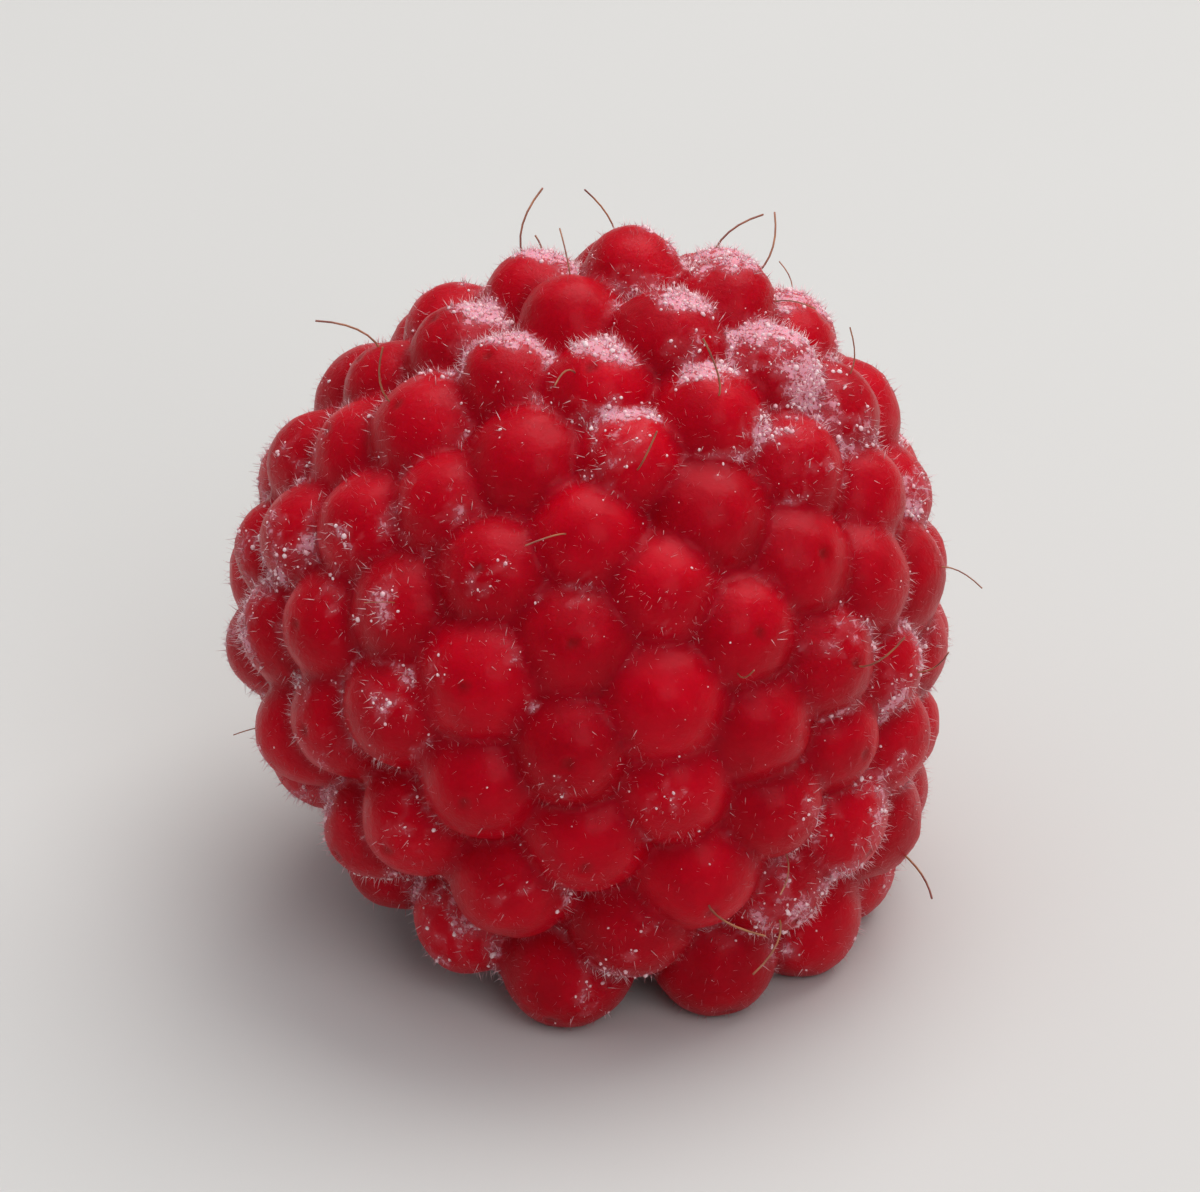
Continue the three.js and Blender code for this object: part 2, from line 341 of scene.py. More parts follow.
def swept_areas(radius, height):
    """The area that the line has swept round the axis, from the tip to each of its points."""
    length = np.hypot(np.diff(radius), np.diff(height))
    return np.concatenate([[0], np.cumsum(math.pi * (radius[1:] + radius[:-1]) * length)])


def put_on_line(centres, radius, height):
    """Puts seats back on the line, at their own turns, and gives the way out of the fruit."""
    turn = np.arctan2(centres[:, 1], centres[:, 0])
    beside = np.hypot(centres[:, 0], centres[:, 1])
    gaps = (radius[None] - beside[:, None]) ** 2 + (height[None] - centres[:, 2][:, None]) ** 2
    nearest = gaps.argmin(axis=1)
    before = np.maximum(nearest - 1, 0)
    after = np.minimum(nearest + 1, LINE_POINTS)
    along = np.stack([radius[after] - radius[before], height[after] - height[before]], 1)
    along /= np.linalg.norm(along, axis=1)[:, None]
    cos, sin = np.cos(turn), np.sin(turn)
    placed = np.stack([radius[nearest] * cos, radius[nearest] * sin, height[nearest]], 1)
    outward = np.stack([-along[:, 1] * cos, -along[:, 1] * sin, along[:, 0]], 1)
    return placed, outward


def grown(places):
    """Places in the berry as it would have grown straight, taken to where they are."""
    x, y, z = places.T
    rise = (np.maximum(z, WIDEST_Z) - WIDEST_Z) / (BERRY_HEIGHT - WIDEST_Z)
    drop = np.clip((WIDEST_Z - z) / (WIDEST_Z - RIM_Z), 0, 1) ** MOUTH_BEND
    towards_lean = x / np.maximum(np.hypot(x, y), NEAR_AXIS)
    rim_rise = RIM_RADIUS * math.sin(LEAN_RIGHT) * (1 - towards_lean)
    sag = rim_rise * (1 - smoothstep(rim_rise, *RIM_RISE))
    bent = np.stack([x + TIP_SHIFT * rise**2 + MOUTH_SHIFT * drop, y, z], 1)
    leaned = bent @ LEAN.T
    leaned[:, 2] -= sag * drop
    return leaned


def grow_seats():
    """The drupelets' seats, standing on the surface, and how far the berry came down to it."""
    radius, height = seat_line()
    areas = swept_areas(radius, height)
    spacing = math.sqrt(areas[-1] / DRUPELETS * 2 / math.sqrt(3))  # as in a honeycomb
    draw = random_draws(SEED)
    centres, size, lift = [], [], []
    index = 0
    for count in range(DRUPELETS):
        while areas[index] < areas[-1] * (count + 0.5) / DRUPELETS:
            index += 1
        turn = count * GOLDEN_ANGLE + TURN_SPREAD * (draw() - 0.5)
        even = TIP_SIZE + (1 - TIP_SIZE) * float(smoothstep(radius[index], 0, SEAT_RADIUS))
        size.append(even * (1 + UNEVENNESS * (2 * draw() - 1)))
        draw()  # spins the solid's drupelet about its own way out, which a round one doesn't show
        lift.append(RAISE_SPREAD * (draw() - 0.5))
        centres.append(
            (radius[index] * math.cos(turn), radius[index] * math.sin(turn), height[index])
        )
    centres, size, lift = (np.array(values) for values in (centres, size, lift))
    half_width = spacing * PLUMPNESS * size
    for _ in range(SETTLE_ROUNDS):
        push = centres[:, None] - centres[None]
        length = np.linalg.norm(push, axis=2)
        np.fill_diagonal(length, 1)
        overlap = PUSH_REACH * spacing * (size[:, None] + size[None]) - length
        np.fill_diagonal(overlap, 0)
        overlap = np.maximum(overlap, 0)
        shift = (push / length[:, :, None] * PUSH_SHARE * overlap[:, :, None]).sum(axis=1)
        centres, outward = put_on_line(centres + shift, radius, height)
    at_rim = centres[:, 2] < RIM_Z + RIM_BAND
    centres = grown(centres + outward * lift[:, None])
    outward = outward @ LEAN.T
    reach = np.hypot(HALF_DEPTH * outward[:, 2], half_width * np.sqrt(1 - outward[:, 2] ** 2))
    lowest = (centres[:, 2] - reach).min()
    centres[:, 2] -= lowest
    gap = centres[:, 2] - reach
    resting = at_rim & (gap < REST_BAND)
    centres[resting, 2] -= gap[resting] + FLAT_BITE
    return Seats(centres, outward, half_width), lowest


def shift_to_node(seats):
    """How far the berry moves sideways to lie where its CAD node does."""
    deep = (HALF_DEPTH * seats.outward) ** 2
    wide = seats.half_width[:, None] ** 2 * (1 - seats.outward**2)
    reach = np.sqrt(deep + wide)
    low, high = (seats.centres - reach).min(axis=0), (seats.centres + reach).max(axis=0)
    node_low, node_high = (np.array(corner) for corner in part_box("raspberry"))
    shift = (node_low + node_high) / 2 - (low + high) / 2
    shift[2] = 0
    return shift


# ---- Meshes ----

def mesh_object(name, places, faces):
    mesh = bpy.data.meshes.new(name)
    mesh.from_pydata([tuple(place) for place in places], [], faces)
    mesh.update()
    made = bpy.data.objects.new(name, mesh)
    bpy.context.scene.collection.objects.link(made)
    return made


def turned_rings(profile, around):
    """Places and faces of a profile of radius and height, turned round the upright axis."""
    places, faces = [], []
    for radius, height in profile:
        for side in range(around):
            turn = 2 * math.pi * side / around
            places.append((radius * math.cos(turn), radius * math.sin(turn), height))
    for ring in range(len(profile) - 1):
        for side in range(around):
            here = ring * around + side
            beside = ring * around + (side + 1) % around
            faces.append((here, beside, beside + around, here + around))
    return places, faces


def put_attributes(mesh, kind, values):
    """Keeps values by name at the mesh's points, for its trees and its material."""
    for name, each in values.items():
        layer = mesh.attributes.new(name, kind, "POINT")
        each = np.asarray(each, dtype=np.float32)
        layer.data.foreach_set("vector" if kind == "FLOAT_VECTOR" else "value", each.ravel())


def places_of(mesh):
    flat = np.empty(len(mesh.vertices) * 3)
    mesh.vertices.foreach_get("co", flat)
    return flat.reshape(-1, 3)


def put_places(mesh, places):
    mesh.vertices.foreach_set("co", places.ravel())
    mesh.update()


def keep_above_surface(mesh, places):
    """Puts a mesh's places, with none of them in what the berry stands on."""
    places[:, 2] = np.maximum(places[:, 2], ON_SURFACE)
    put_places(mesh, places)


def normals_of(mesh):
    flat = np.empty(len(mesh.vertices) * 3, dtype=np.float32)
    mesh.vertex_normals.foreach_get("vector", flat)
    return flat.reshape(-1, 3).astype(float)


def remesh(piece, step):
    modifier = piece.modifiers.new("remesh", "REMESH")
    modifier.mode = "VOXEL"
    modifier.voxel_size = step
    modifier.use_smooth_shade = True


def finish_mesh(piece):
    """Turns a piece and its live modifiers into a plain mesh."""
    depsgraph = bpy.context.evaluated_depsgraph_get()
    mesh = bpy.data.meshes.new_from_object(
        piece.evaluated_get(depsgraph), preserve_all_data_layers=True, depsgraph=depsgraph
    )
    mesh.name = piece.name
    piece.modifiers.clear()
    piece.data = mesh


# ---- Nodes ----

class Nodes:
    """Adds nodes to a tree, and joins them up as they come."""

    clamped = ()  # the kinds of sum whose result is kept between 0 and 1

    def __init__(self, tree):
        self.tree = tree

    def fill(self, made, inputs):
        """Gives a node its inputs: values, or outputs of other nodes, by name or place."""
        for key, value in inputs.items():
            if isinstance(value, bpy.types.NodeSocket):
                self.tree.links.new(value, made.inputs[key])
            else:
                made.inputs[key].default_value = value

    def node(self, kind, inputs=None, **settings):
        made = self.tree.nodes.new(kind)
        for key, value in settings.items():
            setattr(made, key, value)
        self.fill(made, inputs or {})
        return made

    def first(self, kind, inputs=None, **settings):
        """Adds a node, and gives its first output."""
        return self.node(kind, inputs, **settings).outputs[0]

    def math(self, operation, *values):
        clamp = operation in self.clamped
        inputs = dict(enumerate(values))
        return self.first("ShaderNodeMath", inputs, operation=operation, use_clamp=clamp)

    def noise_at(self, where, size, detail, roughness=0.5):
        """Noise from 0 to 1, with blotches of about one size."""
        joined = isinstance(size, bpy.types.NodeSocket)
        scale = self.math("DIVIDE", 1.0, size) if joined else 1 / size
        inputs = {"Vector": where, "Scale": scale, "Detail": detail, "Roughness": roughness}
        return self.first("ShaderNodeTexNoise", inputs)

    def ramp(self, value, low, high, bottom=0.0, top=1.0, kind="LINEAR"):
        """Goes from bottom to top as the value goes from low to high."""
        inputs = {
            "Value": value, "From Min": low, "From Max": high, "To Min": bottom, "To Max": top,
        }
        return self.first("ShaderNodeMapRange", inputs, interpolation_type=kind)


def add_sockets(tree, inputs, outputs):
    """Gives a tree its named inputs and outputs, each of its own kind."""
    for way, sockets in (("INPUT", inputs), ("OUTPUT", outputs)):
        for name, kind in sockets.items():
            tree.interface.new_socket(name, in_out=way, socket_type="NodeSocket" + kind)


class GrowthTree(Nodes):
    """A geometry node tree with named inputs, which grows something on a mesh or its points."""

    def __init__(self, name, inputs):
        super().__init__(bpy.data.node_groups.new(name, "GeometryNodeTree"))
        add_sockets(self.tree, {"Geometry": "Geometry", **inputs}, {"Geometry": "Geometry"})
        self.given = self.node("NodeGroupInput").outputs

    def attribute(self, name, kind="FLOAT"):
        return self.first("GeometryNodeInputNamedAttribute", {"Name": name}, data_type=kind)

    def noise(self, size, detail):
        return self.noise_at(self.first("GeometryNodeInputPosition"), size, detail)

    def scaled(self, vector, factor):
        inputs = {0: vector, "Scale": factor}
        return self.first("ShaderNodeVectorMath", inputs, operation="SCALE")

    def random(self, low, high, seed):
        inputs = {"Min": low, "Max": high, "Seed": seed}
        kind = "FLOAT" if isinstance(low, float) else "FLOAT_VECTOR"
        return self.node("FunctionNodeRandomValue", inputs, data_type=kind).outputs["Value"]

    def turned(self, angles):
        return self.first("FunctionNodeEulerToRotation", {0: angles})

    def turned_out(self):
        """The turn that points an upright shape out of the fruit."""
        outward = self.attribute("outward", "FLOAT_VECTOR")
        return self.first("FunctionNodeAlignRotationToVector", {"Vector": outward}, axis="Z")

    def turned_on(self, facing, own):
        """Adds a shape's own turn, taken first, to the way that its place faces."""
        return self.first(
            "FunctionNodeRotateRotation", {0: facing, 1: own}, rotation_space="LOCAL"
        )

    def scattered(self, per_area, cover, seed):
        """Random places on the skin, of which more come where the cover is thicker."""
        density = self.math("MULTIPLY", per_area, cover)
        inputs = {"Mesh": self.given["Geometry"], "Density": density, "Seed": seed}
        return self.node("GeometryNodeDistributePointsOnFaces", inputs).outputs

    def planted(self, places, shape, facing, scale):
        """One copy of a shape on each place."""
        inputs = {"Points": places, "Instance": shape, "Rotation": facing, "Scale": scale}
        return self.first("GeometryNodeInstanceOnPoints", inputs)

    def result(self, geometry, material):
        """Ends the tree: real instances, one material."""
        real = self.first("GeometryNodeRealizeInstances", {"Geometry": geometry})
        smooth = self.first("GeometryNodeSetShadeSmooth", {0: real})
        inputs = {"Geometry": smooth, "Material": material}
        self.node("NodeGroupOutput", {"Geometry": self.first("GeometryNodeSetMaterial", inputs)})
        return self.tree


def run_tree(piece, tree, values):
    """Runs a tree on a piece with the named values, and keeps the result as its mesh."""
    modifier = piece.modifiers.new(tree.name, "NODES")
    modifier.node_group = tree
    for item in tree.interface.items_tree:
        if item.in_out == "INPUT" and item.name in values:
            modifier[item.identifier] = values[item.name]
    finish_mesh(piece)
    faces = piece.data.polygons
    used = piece.data.materials[faces[0].material_index]
    piece.data.materials.clear()
    piece.data.materials.append(used)
    faces.foreach_set("material_index", [0] * len(faces))


# ---- Materials ----

class Paint(Nodes):
    """The nodes of a material, or of a group that materials share."""

    clamped = ("ADD", "MULTIPLY")

    def __init__(self, tree):
        super().__init__(tree)
        self.where = self.node("ShaderNodeTexCoord").outputs["Object"]

    def attribute(self, name):
        return self.node("ShaderNodeAttribute", attribute_name=name).outputs["Fac"]

    def noise(self, size, detail, roughness=0.5):
        return self.noise_at(self.where, size, detail, roughness)

    def mix(self, share, first, second):
        inputs = {"Factor": share, "A": first, "B": second}
        return self.node("ShaderNodeMix", inputs, data_type="RGBA").outputs["Result"]

    def tinted(self, mark, strength, under, colour):
        """A colour laid over another, where the skin has this mark."""
        return self.mix(self.math("MULTIPLY", self.attribute(mark), strength), under, colour)


def new_material(name):
    """A material of one shader, with what adds its other nodes."""
    material = bpy.data.materials.new(name)
    material.use_nodes = True
    material.node_tree.nodes.clear()
    paint = Paint(material.node_tree)
    shader = paint.node("ShaderNodeBsdfPrincipled")
    paint.node("ShaderNodeOutputMaterial", {"Surface": shader.outputs[0]})
    return material, paint, shader


def rime_group():
    """Fine frost: where it lies thick it hides the surface, and where it is thin it is specks."""
    group = bpy.data.node_groups.new("rime", "ShaderNodeTree")
    inputs = {
        "Surface Color": "Color", "Surface Roughness": "Float", "Amount": "Float",
        "Speck Size": "Float",
    }
    add_sockets(group, inputs, {"Color": "Color", "Roughness": "Float", "Height": "Float"})
    paint = Paint(group)
    given = paint.node("NodeGroupInput").outputs
    amount = given["Amount"]
    grain = paint.noise(given["Speck Size"], detail=3.0, roughness=0.65)
    level = paint.ramp(amount, 0.0, 1.0, *SPECK_LEVELS)
    specks = paint.ramp(paint.math("SUBTRACT", grain, level), 0.0, SPECK_EDGE)
    height = paint.math("MULTIPLY", specks, amount)
    cover = paint.math("MAXIMUM", height, paint.ramp(amount, THIN_FROST, 1.0, 0.0, FROST_VEIL))
    rough = paint.ramp(cover, 0.0, 1.0, given["Surface Roughness"], FROST_ROUGHNESS)
    colour = paint.mix(cover, given["Surface Color"], FROST_PINK)
    paint.node("NodeGroupOutput", {"Color": colour, "Roughness": rough, "Height": height})
    return group


def rimed(paint, rime, colour, roughness, amount, speck_size):
    """The colour, roughness and height of a surface with fine frost on it."""
    inputs = {
        "Surface Color": colour, "Surface Roughness": roughness, "Amount": amount,
        "Speck Size": speck_size,
    }
    return paint.node("ShaderNodeGroup", inputs, node_tree=rime).outputs


def skin_material(rime):
    """Glassy red flesh, brighter in places, with pores, scars, frost and painted shade darkening
    its creases.
    """
    material, paint, skin = new_material("ripe_skin")
    blotches = paint.ramp(paint.noise(BLOTCH_SIZE, detail=3.0), *CLEAR)
    mottle = paint.ramp(paint.noise(MOTTLE_SIZE, detail=3.0, roughness=0.6), *SOFT)
    shade = paint.math("MULTIPLY", paint.attribute("ripeness"), RIPENESS_SHARE)
    shade = paint.math("ADD", shade, paint.math("MULTIPLY", blotches, BLOTCH_SHARE))
    shade = paint.math("ADD", shade, paint.math("MULTIPLY", mottle, MOTTLE_SHARE))
    red = paint.mix(shade, RIPE_RED, BRIGHT_RED)
    # Painted shade: the creases between the drupelets are darkened in the colour itself.
    red = paint.tinted("crease", CREASE_SHADE_STRENGTH, red, CREASE_SHADE_RED)
    red = paint.tinted("scar", SCAR_TINT, red, SCAR_BROWN)
    red = paint.mix(paint.attribute("inside"), red, INSIDE_PINK)
    dust = paint.math("MULTIPLY", blotches, BLOTCH_DUST)
    frost = paint.math("MAXIMUM", paint.attribute("frost"), dust)
    finish = rimed(paint, rime, red, SKIN_ROUGHNESS, frost, SPECK_SIZE)
    pores = paint.noise(PORE_SIZE, detail=3.0, roughness=0.65)
    pores = paint.math("MULTIPLY", pores, PORE_SHARE)
    height = paint.math("ADD", pores, finish["Height"])
    relief = {"Height": height, "Strength": 0.8, "Distance": SKIN_RELIEF}
    paint.fill(skin, {
        "Base Color": finish["Color"],
        "Roughness": finish["Roughness"],
        "IOR": 1.36,
        "Normal": paint.first("ShaderNodeBump", relief),
        "Subsurface Weight": 0.6,
        "Subsurface Radius": (1.0, 0.16, 0.10),
        "Subsurface Scale": 1.4 * MM,
        "Specular IOR Level": 0.32,
        "Specular Tint": (1, 0.18, 0.30, 1),
        "Coat Weight": 0.09,
        "Coat Roughness": 0.2,
        "Coat IOR": 1.4,
    })
    return material


def frost_material():
    material, paint, ice = new_material("frost")
    tone = paint.ramp(paint.noise(ICE_CLOUDS, detail=2.0), *SOFT)
    grain = paint.noise(ICE_GRAIN, detail=1.0)
    paint.fill(ice, {
        "Base Color": paint.mix(tone, *ICE_TONES),
        "Roughness": paint.ramp(grain, *SOFT, *ICE_ROUGHNESS),
        "IOR": 1.31,
    })
    return material


def down_material():
    material, paint, hair = new_material("pale_down")
    tone = paint.ramp(paint.noise(DOWN_CLOUDS, detail=1.0), *CLEAR)
    paint.fill(hair, {"Base Color": paint.mix(tone, *DOWN_TONES), "Roughness": 0.6})
    return material


def style_material(rime):
    material, paint, hair = new_material("dry_styles")
    tone = paint.ramp(paint.noise(STYLE_CLOUDS, detail=1.0), *CLEAR)
    brown = paint.mix(tone, *STYLE_TONES)
    finish = rimed(paint, rime, brown, STYLE_ROUGHNESS, STYLE_FROST, STYLE_SPECK_SIZE)
    paint.fill(hair, {"Base Color": finish["Color"], "Roughness": finish["Roughness"]})
    return material


def floor_material():
    material, paint, paper = new_material("studio_paper")
    tone = paint.noise(PAPER_CLOUDS, detail=2.0)
    paint.fill(paper, {"Base Color": paint.mix(tone, *PAPER_TONES), "Roughness": 0.85})
    return material


# ---- What grows: the trees ----

def drupelet_tree():
    """Drupelets on their seats, together with the flesh that they grow on."""
    inputs = {"Depth": "Float", "Fineness": "Int", "Flesh": "Object", "Skin": "Material"}
    tree = GrowthTree("drupelets", inputs)
    given = tree.given
    inputs = {"Radius": 1.0, "Subdivisions": given["Fineness"]}
    dome = tree.first("GeometryNodeMeshIcoSphere", inputs)
    half_width = tree.attribute("half_width")
    half_depth = tree.math("MULTIPLY", given["Depth"], 0.5)
    scale = tree.first("ShaderNodeCombineXYZ", {0: half_width, 1: half_width, 2: half_depth})
    domes = tree.planted(given["Geometry"], dome, tree.turned_out(), scale)
    flesh = tree.node("GeometryNodeObjectInfo", {"Object": given["Flesh"]}).outputs["Geometry"]
    both = tree.node("GeometryNodeJoinGeometry")
    for part in (domes, flesh):
        tree.fill(both, {0: part})
    return tree.result(both.outputs[0], given["Skin"])


def skin_tree():
    """Makes the skin a little uneven, and settles frost where it is exposed."""
    inputs = {
        "Unevenness": "Float", "Dent Size": "Float", "Scar Depth": "Float",
        "Patch Size": "Float", "Gap Size": "Float", "Skin": "Material",
    }
    tree = GrowthTree("skin", inputs)
    given = tree.given
    dents = tree.math("SUBTRACT", tree.noise(given["Dent Size"], detail=3.0), 0.5)
    raised = tree.math("MULTIPLY", dents, given["Unevenness"])
    scar = tree.math("MULTIPLY", tree.attribute("scar"), given["Scar Depth"])
    raised = tree.math("SUBTRACT", raised, scar)
    offset = tree.scaled(tree.first("GeometryNodeInputNormal"), raised)
    inputs = {"Geometry": given["Geometry"], "Offset": offset}
    uneven = tree.first("GeometryNodeSetPosition", inputs)
    patches = tree.noise(given["Patch Size"], detail=3.0)
    gaps = tree.math("MULTIPLY", tree.noise(given["Gap Size"], detail=2.0), GAP_SHARE)
    broken = tree.math("SUBTRACT", tree.math("ADD", patches, gaps), GAP_SHARE / 2)
    exposed = tree.math("MULTIPLY", tree.attribute("exposure"), EXPOSED_SHARE)
    over = tree.math("SUBTRACT", broken, tree.math("SUBTRACT", BARE_LEVEL, exposed))
    frost = tree.ramp(over, *FROST_EDGE, kind="SMOOTHSTEP")
    inputs = {"Geometry": uneven, "Name": "frost", "Value": frost}
    frosted = tree.first("GeometryNodeStoreNamedAttribute", inputs, data_type="FLOAT")
    return tree.result(frosted, given["Skin"])


def frost_tree():
    """Grains of frost on the skin, most and largest where its frost is thick."""
    inputs = {
        "Grains per Area": "Float", "Smallest": "Float", "Largest": "Float", "Ice": "Material",
    }
    tree = GrowthTree("frost_grains", inputs)
    given = tree.given
    frost = tree.attribute("frost")
    cover = tree.math("ADD", tree.math("POWER", frost, GRAIN_CROWDING), STRAY_GRAINS)
    spots = tree.scattered(given["Grains per Area"], cover, SEED)
    inputs = {"Radius": 1.0, "Subdivisions": GRAIN_FINENESS}
    grain = tree.first("GeometryNodeMeshIcoSphere", inputs)
    turned = tree.turned(tree.random(*GRAIN_TURNS))
    shape = tree.random(*GRAIN_SHAPES)
    draw = tree.math("POWER", tree.random(*GRAIN_DRAWS), SMALL_GRAINS)
    size = tree.ramp(draw, 0.0, 1.0, given["Smallest"], given["Largest"])
    size = tree.math("MULTIPLY", size, tree.ramp(frost, 0.0, FULL_GRAINS, BARE_GRAINS))
    grains = tree.planted(spots["Points"], grain, turned, tree.scaled(shape, size))
    return tree.result(grains, given["Ice"])


def needle_tree():
    """Fine needles or hairs that stand out of the skin, where its frost is or all over it."""
    inputs = {
        "Needles per Area": "Float", "Share on Frost": "Float", "Share on Skin": "Float",
        "Share in Creases": "Float", "Length": "Float", "Thickness": "Float", "Seed": "Int",
        "Finish": "Material",
    }
    tree = GrowthTree("needles", inputs)
    given = tree.given
    on_frost = tree.math("MULTIPLY", tree.attribute("frost"), given["Share on Frost"])
    in_creases = tree.math("MULTIPLY", tree.attribute("crease"), given["Share in Creases"])
    cover = tree.math("ADD", tree.math("ADD", on_frost, in_creases), given["Share on Skin"])
    dry = tree.ramp(tree.attribute("exposure"), 0.0, DRY_BELOW, DRY_SHARE)
    outside = tree.math("SUBTRACT", 1.0, tree.attribute("inside"))
    cover = tree.math("MULTIPLY", tree.math("MULTIPLY", cover, dry), outside)
    spots = tree.scattered(given["Needles per Area"], cover, given["Seed"])
    inputs = {
        "Vertices": NEEDLE_SIDES, "Radius Top": 0.0, "Depth": given["Length"],
        "Radius Bottom": tree.math("MULTIPLY", given["Thickness"], 0.5),
    }
    needle = tree.node("GeometryNodeMeshCone", inputs, fill_type="NGON").outputs["Mesh"]
    tilt = tree.turned(tree.random(*NEEDLE_TILTS))
    facing = tree.turned_on(spots["Rotation"], tilt)
    length = tree.random(*NEEDLE_LENGTHS)
    return tree.result(tree.planted(spots["Points"], needle, facing, length), given["Finish"])


def style_tree():
    """Dry styles: one bent, tapered hair on each place given."""
    inputs = {"Length": "Float", "Thickness": "Float", "Bend": "Float", "Dry": "Material"}
    tree = GrowthTree("styles", inputs)
    given = tree.given
    knee_height = tree.math("MULTIPLY", given["Length"], STYLE_KNEE)
    inputs = {
        "Resolution": STYLE_POINTS,
        "Start": (0, 0, 0),
        "Middle": tree.first("ShaderNodeCombineXYZ", {2: knee_height}),
        "End": tree.first("ShaderNodeCombineXYZ", {0: given["Bend"], 2: given["Length"]}),
    }
    line = tree.first("GeometryNodeCurveQuadraticBezier", inputs)
    along = tree.node("GeometryNodeSplineParameter").outputs["Factor"]
    taper = tree.math("SUBTRACT", 1.0, tree.math("MULTIPLY", along, STYLE_TAPER))
    tapered = tree.first("GeometryNodeSetCurveRadius", {"Curve": line, "Radius": taper})
    radius = tree.math("MULTIPLY", given["Thickness"], 0.5)
    inputs = {"Resolution": STYLE_SIDES, "Radius": radius}
    ring = tree.first("GeometryNodeCurvePrimitiveCircle", inputs)
    inputs = {"Curve": tapered, "Profile Curve": ring, "Fill Caps": True}
    hair = tree.first("GeometryNodeCurveToMesh", inputs)
    own = tree.turned(tree.first("ShaderNodeCombineXYZ", {2: tree.attribute("turn")}))
    facing = tree.turned_on(tree.turned_out(), own)
    hairs = tree.planted(given["Geometry"], hair, facing, tree.attribute("reach"))
    return tree.result(hairs, given["Dry"])


# ---- The fruit ----

def lathe(name, profile, around, lowest):
    """A solid turned from a profile that begins and ends on the axis, grown as the berry is."""
    places, faces = turned_rings(profile[1:-1], around)
    bottom, top = len(places), len(places) + 1
    last = bottom - around
    places += [(0, 0, profile[0][1]), (0, 0, profile[-1][1])]
    for side in range(around):
        beside = (side + 1) % around
        faces.append((bottom, beside, side))
        faces.append((top, last + side, last + beside))
    return mesh_object(name, grown(np.array(places)) - (0, 0, lowest), faces)


def grow_flesh(lowest):
    """What fills the fruit's wall between the drupelets."""
    radius, height = seat_line()
    line = [(radius[i], height[i]) for i in range(LINE_POINTS, 0, -FLESH_LINE_STEP)]
    low = RIM_Z - FLESH_DROP
    profile = [(0, low), (RIM_RADIUS, low), *line, (0, SEAT_TOP)]
    return lathe("flesh", profile, FLESH_SIDES, lowest)


def grow_hollow(seats, lowest):
    """What the berry's hollow is cut with: its wall bulges a little for each drupelet's root."""
    radius = HOLLOW_TOP_WIDTH / 2
    shoulder = HOLLOW_DEPTH - radius
    splay = (MOUTH_WIDTH / 2 - radius) / shoulder
    profile = [(0, -BEYOND)]
    for height in np.linspace(-BEYOND, shoulder, HOLLOW_RINGS):
        profile.append((radius + splay * (shoulder - height), height))
    for angle in np.linspace(0, math.pi / 2, HOLLOW_END_RINGS)[1:-1]:
        profile.append((radius * math.cos(angle), shoulder + radius * math.sin(angle)))
    profile.append((0, HOLLOW_DEPTH))
    hollow = lathe("hollow", profile, HOLLOW_SIDES, lowest)
    places = places_of(hollow.data)
    roots = seats.centres - seats.outward * HALF_DEPTH * ROOT_SHARE
    away = np.sort(np.linalg.norm(places[:, None] - roots[None], axis=2), axis=1)
    groove = 1 - smoothstep(away[:, 1] - away[:, 0], 0, ROOT_GROOVE)
    places += normals_of(hollow.data) * (ROOT_RELIEF * (groove - ROOT_BULGE))[:, None]
    put_places(hollow.data, places)
    return hollow


def nearest_drupelets(places, seats):
    """For each place: which drupelet it is on, and how far out it is on that and on the next."""
    which = np.empty(len(places), dtype=int)
    reaches = np.empty((len(places), 2))
    for start in range(0, len(places), AT_ONCE):
        part = slice(start, start + AT_ONCE)
        offset = places[part][:, None] - seats.centres[None]
        along = (offset * seats.outward[None]).sum(axis=2)
        across = np.sqrt(np.maximum((offset**2).sum(axis=2) - along**2, 0))
        reach = np.hypot(along / HALF_DEPTH, across / seats.half_width[None])
        order = np.argpartition(reach, 1, axis=1)[:, :2]
        two = np.take_along_axis(reach, order, axis=1)
        nearer = two.argmin(axis=1)
        rows = np.arange(len(two))
        which[part] = order[rows, nearer]
        reaches[part, 0] = two[rows, nearer]
        reaches[part, 1] = two[rows, 1 - nearer]
    return which, reaches


def exposure_of(places, normals, outward):
    """How much frost each place has caught: a band round the tip, the side patches, the rest."""
    away = places - np.array(FROST_MIDDLE)
    away /= np.linalg.norm(away, axis=1)[:, None]

    def fade(way, angle, spread):
        """1 at an angle from a way out of the berry, and less to both sides of it."""
        apart = np.degrees(np.arccos(np.clip(away @ way, -1, 1)))
        return np.exp(-(((apart - angle) / spread) ** 2))

    facing = normals @ FROST_SIDE
    upper_side = smoothstep(facing - outward @ FROST_SIDE, *FROST_UPPER)
    caught = smoothstep(facing, *FROST_SQUARELY)
    caught = caught * (FROST_ON_LOWER + (1 - FROST_ON_LOWER) * upper_side)
    band = fade(LEAN @ np.array([0, 0, 1.0]), FROST_BAND_ANGLE, FROST_BAND_SPREAD)
    total = FROST_EVERYWHERE + band * (FROST_BAND_LEAST + FROST_BAND_CAUGHT * caught)
    for turn, rise, spread, amount in FROST_PATCHES:
        turn, rise = math.radians(turn), math.radians(rise)
        level = math.cos(rise)
        way = np.array([math.sin(turn) * level, -math.cos(turn) * level, math.sin(rise)])
        total += amount * fade(way, 0, spread)
    return total


